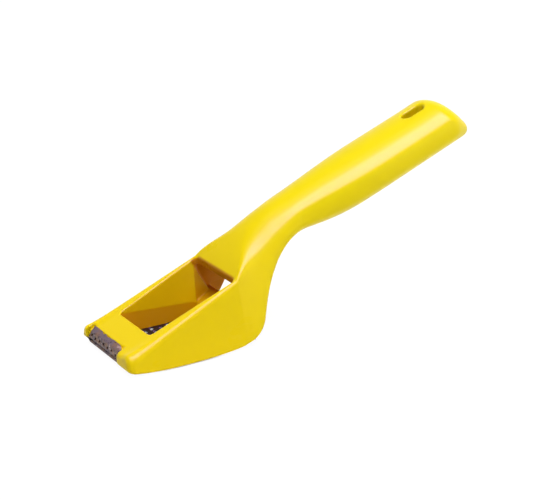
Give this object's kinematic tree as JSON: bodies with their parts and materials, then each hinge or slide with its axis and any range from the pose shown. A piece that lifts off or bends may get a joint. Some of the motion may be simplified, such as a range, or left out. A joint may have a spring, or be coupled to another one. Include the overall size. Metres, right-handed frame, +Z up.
{
  "type": "rasp plane",
  "caption": "One-handed rasp plane: a moulded body with an upswept handle, an open throat over a curved perforated blade, and a clamp screw at the heel.",
  "frame": {"origin": "middle of the length and width, at the height of the lowest tooth tips, where the sole touches the work", "axes": "+X from the nose to the end of the handle (the pull stroke runs this way), +Y to the left of a user who pulls the handle towards themselves, +Z up from the work"},
  "size_m": [0.1738, 0.0444, 0.0822],
  "materials": {
    "yellow_plastic": "semi-gloss moulded",
    "blade_steel": "blued, dull",
    "plated_steel": "zinc plated"
  },
  "bodies": {
    "frame": {"body": "yellow_plastic", "nut": "plated_steel"},
    "blade": {"blade": "blade_steel"},
    "washer": {"washer": "plated_steel"},
    "screw": {"screw": "plated_steel"}
  },
  "joints": [
    {"name": "blade_swing", "type": "hinge", "parent": "frame", "child": "blade", "pos_m": [-0.0821, 0, 0.0093], "axis": [0, 1, 0], "range_deg": [0, 7]},
    {"name": "screw_travel", "type": "slide", "parent": "frame", "child": "washer", "axis": [1, 0, 0], "range_m": [0, 0.0014]},
    {"name": "screw_turn", "type": "hinge", "parent": "washer", "child": "screw", "pos_m": [-0.0277, 0, 0.00776], "axis": [1, 0, 0], "range_deg": [0, 720]}
  ],
  "couplings": [
    {"joint": "screw_turn", "follows": "screw_travel", "rad_per_m": 8975.9}
  ]
}
